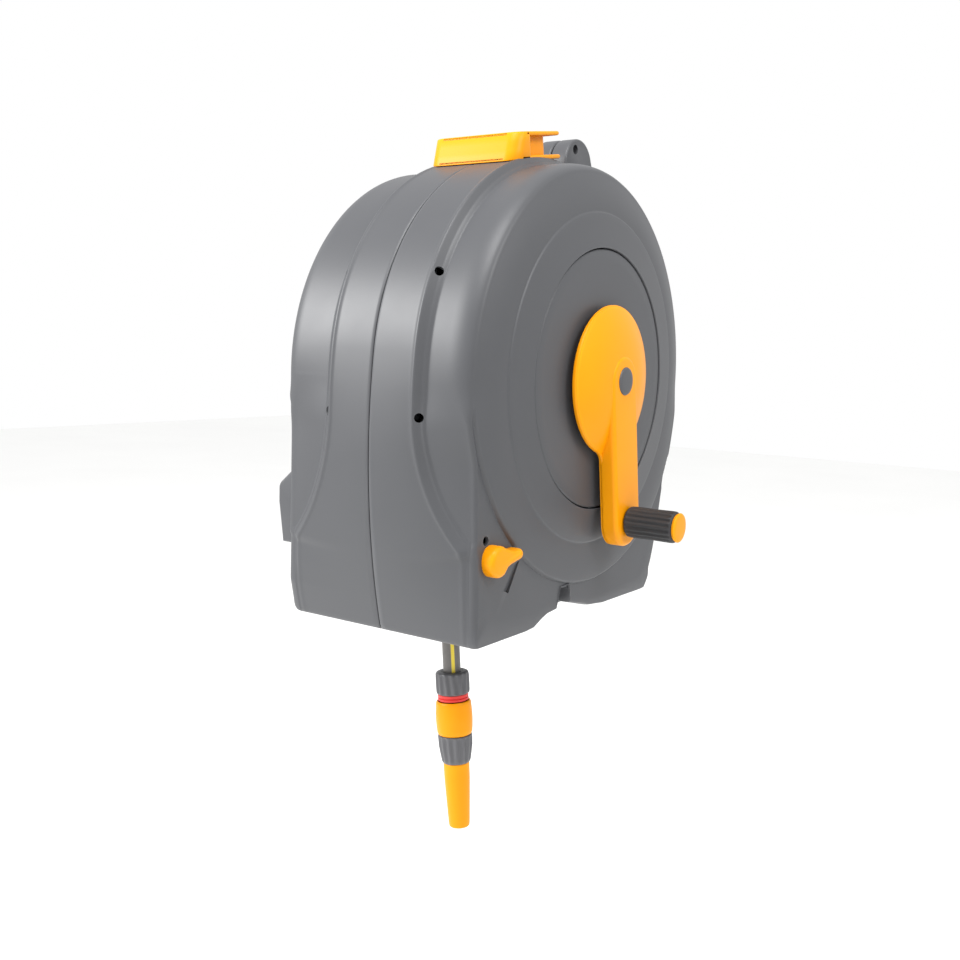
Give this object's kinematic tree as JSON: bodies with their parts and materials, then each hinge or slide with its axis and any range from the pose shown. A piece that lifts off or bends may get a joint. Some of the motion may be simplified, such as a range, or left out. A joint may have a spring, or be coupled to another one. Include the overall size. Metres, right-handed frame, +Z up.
{
  "type": "wall mounted hose reel",
  "caption": "Wall mounted garden hose reel: grey clam-shell case on a swing bracket, orange crank, carry handle and brake, hose with a hanging nozzle.",
  "frame": {"origin": "centre of the four wall bolts, on the wall face of the bracket plate, at the height of the drum axle", "axes": "+Y into the wall, +Z up, +X along the drum axle to the crank side; the reel hangs on the -Y side"},
  "size_m": [0.3255, 0.475, 0.7001],
  "materials": {
    "casing": "moulded grey polypropylene, satin",
    "orange": "moulded orange ABS, semi-gloss",
    "black": "moulded black acetal",
    "soft_black": "soft ribbed rubber",
    "steel": "zinc plated steel",
    "drum": "moulded grey polypropylene",
    "hose": "grey PVC garden hose with a yellow line",
    "connector": "moulded dark grey ABS",
    "red": "red seal ring"
  },
  "bodies": {
    "bracket": {"wall_bracket": "casing", "upper_hinge_pin": "steel", "lower_hinge_pin": "steel"},
    "case": {"upper_hinge_bush": "black", "lower_hinge_bush": "black", "case_left": "casing", "case_right": "casing", "cover_left": "casing", "cover_right": "casing", "case_screws": "black", "carry_handle": "orange", "handle_screws": "steel", "left_axle_bush": "black", "right_axle_bush": "black", "inlet_hood": "casing", "inlet_spigot": "black", "inlet_seal": "red", "feed_pipe": "black", "swivel_housing": "drum", "swivel_seals": "soft_black", "guide_rod": "steel", "layer_bearings": "black", "idler_pin": "steel", "brake_bush": "black"},
    "drum": {"drum_barrel": "drum", "drum_flange_left": "drum", "drum_flange_right": "drum", "drum_axle": "drum", "crank_shaft": "steel", "drum_gear": "black", "hose_core": "hose", "hose_layer": "hose", "crank_arm": "orange", "crank_button": "casing", "crank_screw": "steel", "grip_pin": "steel"},
    "grip": {"crank_grip": "soft_black", "grip_cap": "orange"},
    "brake": {"brake_lever": "orange", "brake_cam": "black"},
    "shoe": {"brake_shoe": "soft_black"},
    "idler": {"idler_gear": "black"},
    "layering": {"layer_screw": "steel", "layer_gear": "black"},
    "guide": {"guide_carriage": "orange", "roller_pins": "steel", "hose_tail": "hose", "hose_nut": "connector", "seal_ring": "red", "connector_core": "black", "nozzle_barrel": "connector"},
    "roller_front": {"front_roller": "black"},
    "roller_rear": {"rear_roller": "black"},
    "collar": {"release_collar": "orange"},
    "spout": {"nozzle_spout": "orange"}
  },
  "joints": [
    {"name": "reel_swing", "type": "hinge", "parent": "bracket", "child": "case", "pos_m": [0, -0.08, 0], "axis": [0, 0, 1], "range_deg": [-35, 35]},
    {"name": "drum_spin", "type": "hinge", "parent": "case", "child": "drum", "pos_m": [0, -0.26, 0], "axis": [1, 0, 0], "continuous": true},
    {"name": "grip_spin", "type": "hinge", "parent": "drum", "child": "grip", "pos_m": [0, -0.2381, -0.13828], "axis": [1, 0, 0], "continuous": true},
    {"name": "brake_turn", "type": "hinge", "parent": "case", "child": "brake", "pos_m": [0, -0.43, -0.155], "axis": [1, 0, 0], "range_deg": [-70, 0]},
    {"name": "shoe_slide", "type": "slide", "parent": "case", "child": "shoe", "axis": [0, 0.739, 0.6738], "range_m": [0, 0.002]},
    {"name": "idler_spin", "type": "hinge", "parent": "case", "child": "idler", "pos_m": [0, -0.29016, -0.09953], "axis": [1, 0, 0], "continuous": true},
    {"name": "layering_spin", "type": "hinge", "parent": "case", "child": "layering", "pos_m": [0, -0.318, -0.1914], "axis": [1, 0, 0], "continuous": true},
    {"name": "guide_slide", "type": "slide", "parent": "case", "child": "guide", "axis": [1, 0, 0], "range_m": [-0.04, 0.04]},
    {"name": "front_roller_spin", "type": "hinge", "parent": "guide", "child": "roller_front", "pos_m": [0, -0.36161, -0.1914], "axis": [1, 0, 0], "continuous": true},
    {"name": "rear_roller_spin", "type": "hinge", "parent": "guide", "child": "roller_rear", "pos_m": [0, -0.33411, -0.1914], "axis": [1, 0, 0], "continuous": true},
    {"name": "collar_slide", "type": "slide", "parent": "guide", "child": "collar", "axis": [-0.0958, 0, 0.9954], "range_m": [0, 0.004]},
    {"name": "spout_twist", "type": "hinge", "parent": "guide", "child": "spout", "pos_m": [0.0048, -0.345, -0.292], "axis": [-0.0958, 0, 0.9954], "range_deg": [0, 180]}
  ],
  "couplings": [
    {"joint": "idler_spin", "follows": "drum_spin", "ratio": -0.52941},
    {"joint": "layering_spin", "follows": "drum_spin", "ratio": 1.2857},
    {"joint": "shoe_slide", "follows": "brake_turn", "m_per_rad": -0.00163}
  ]
}
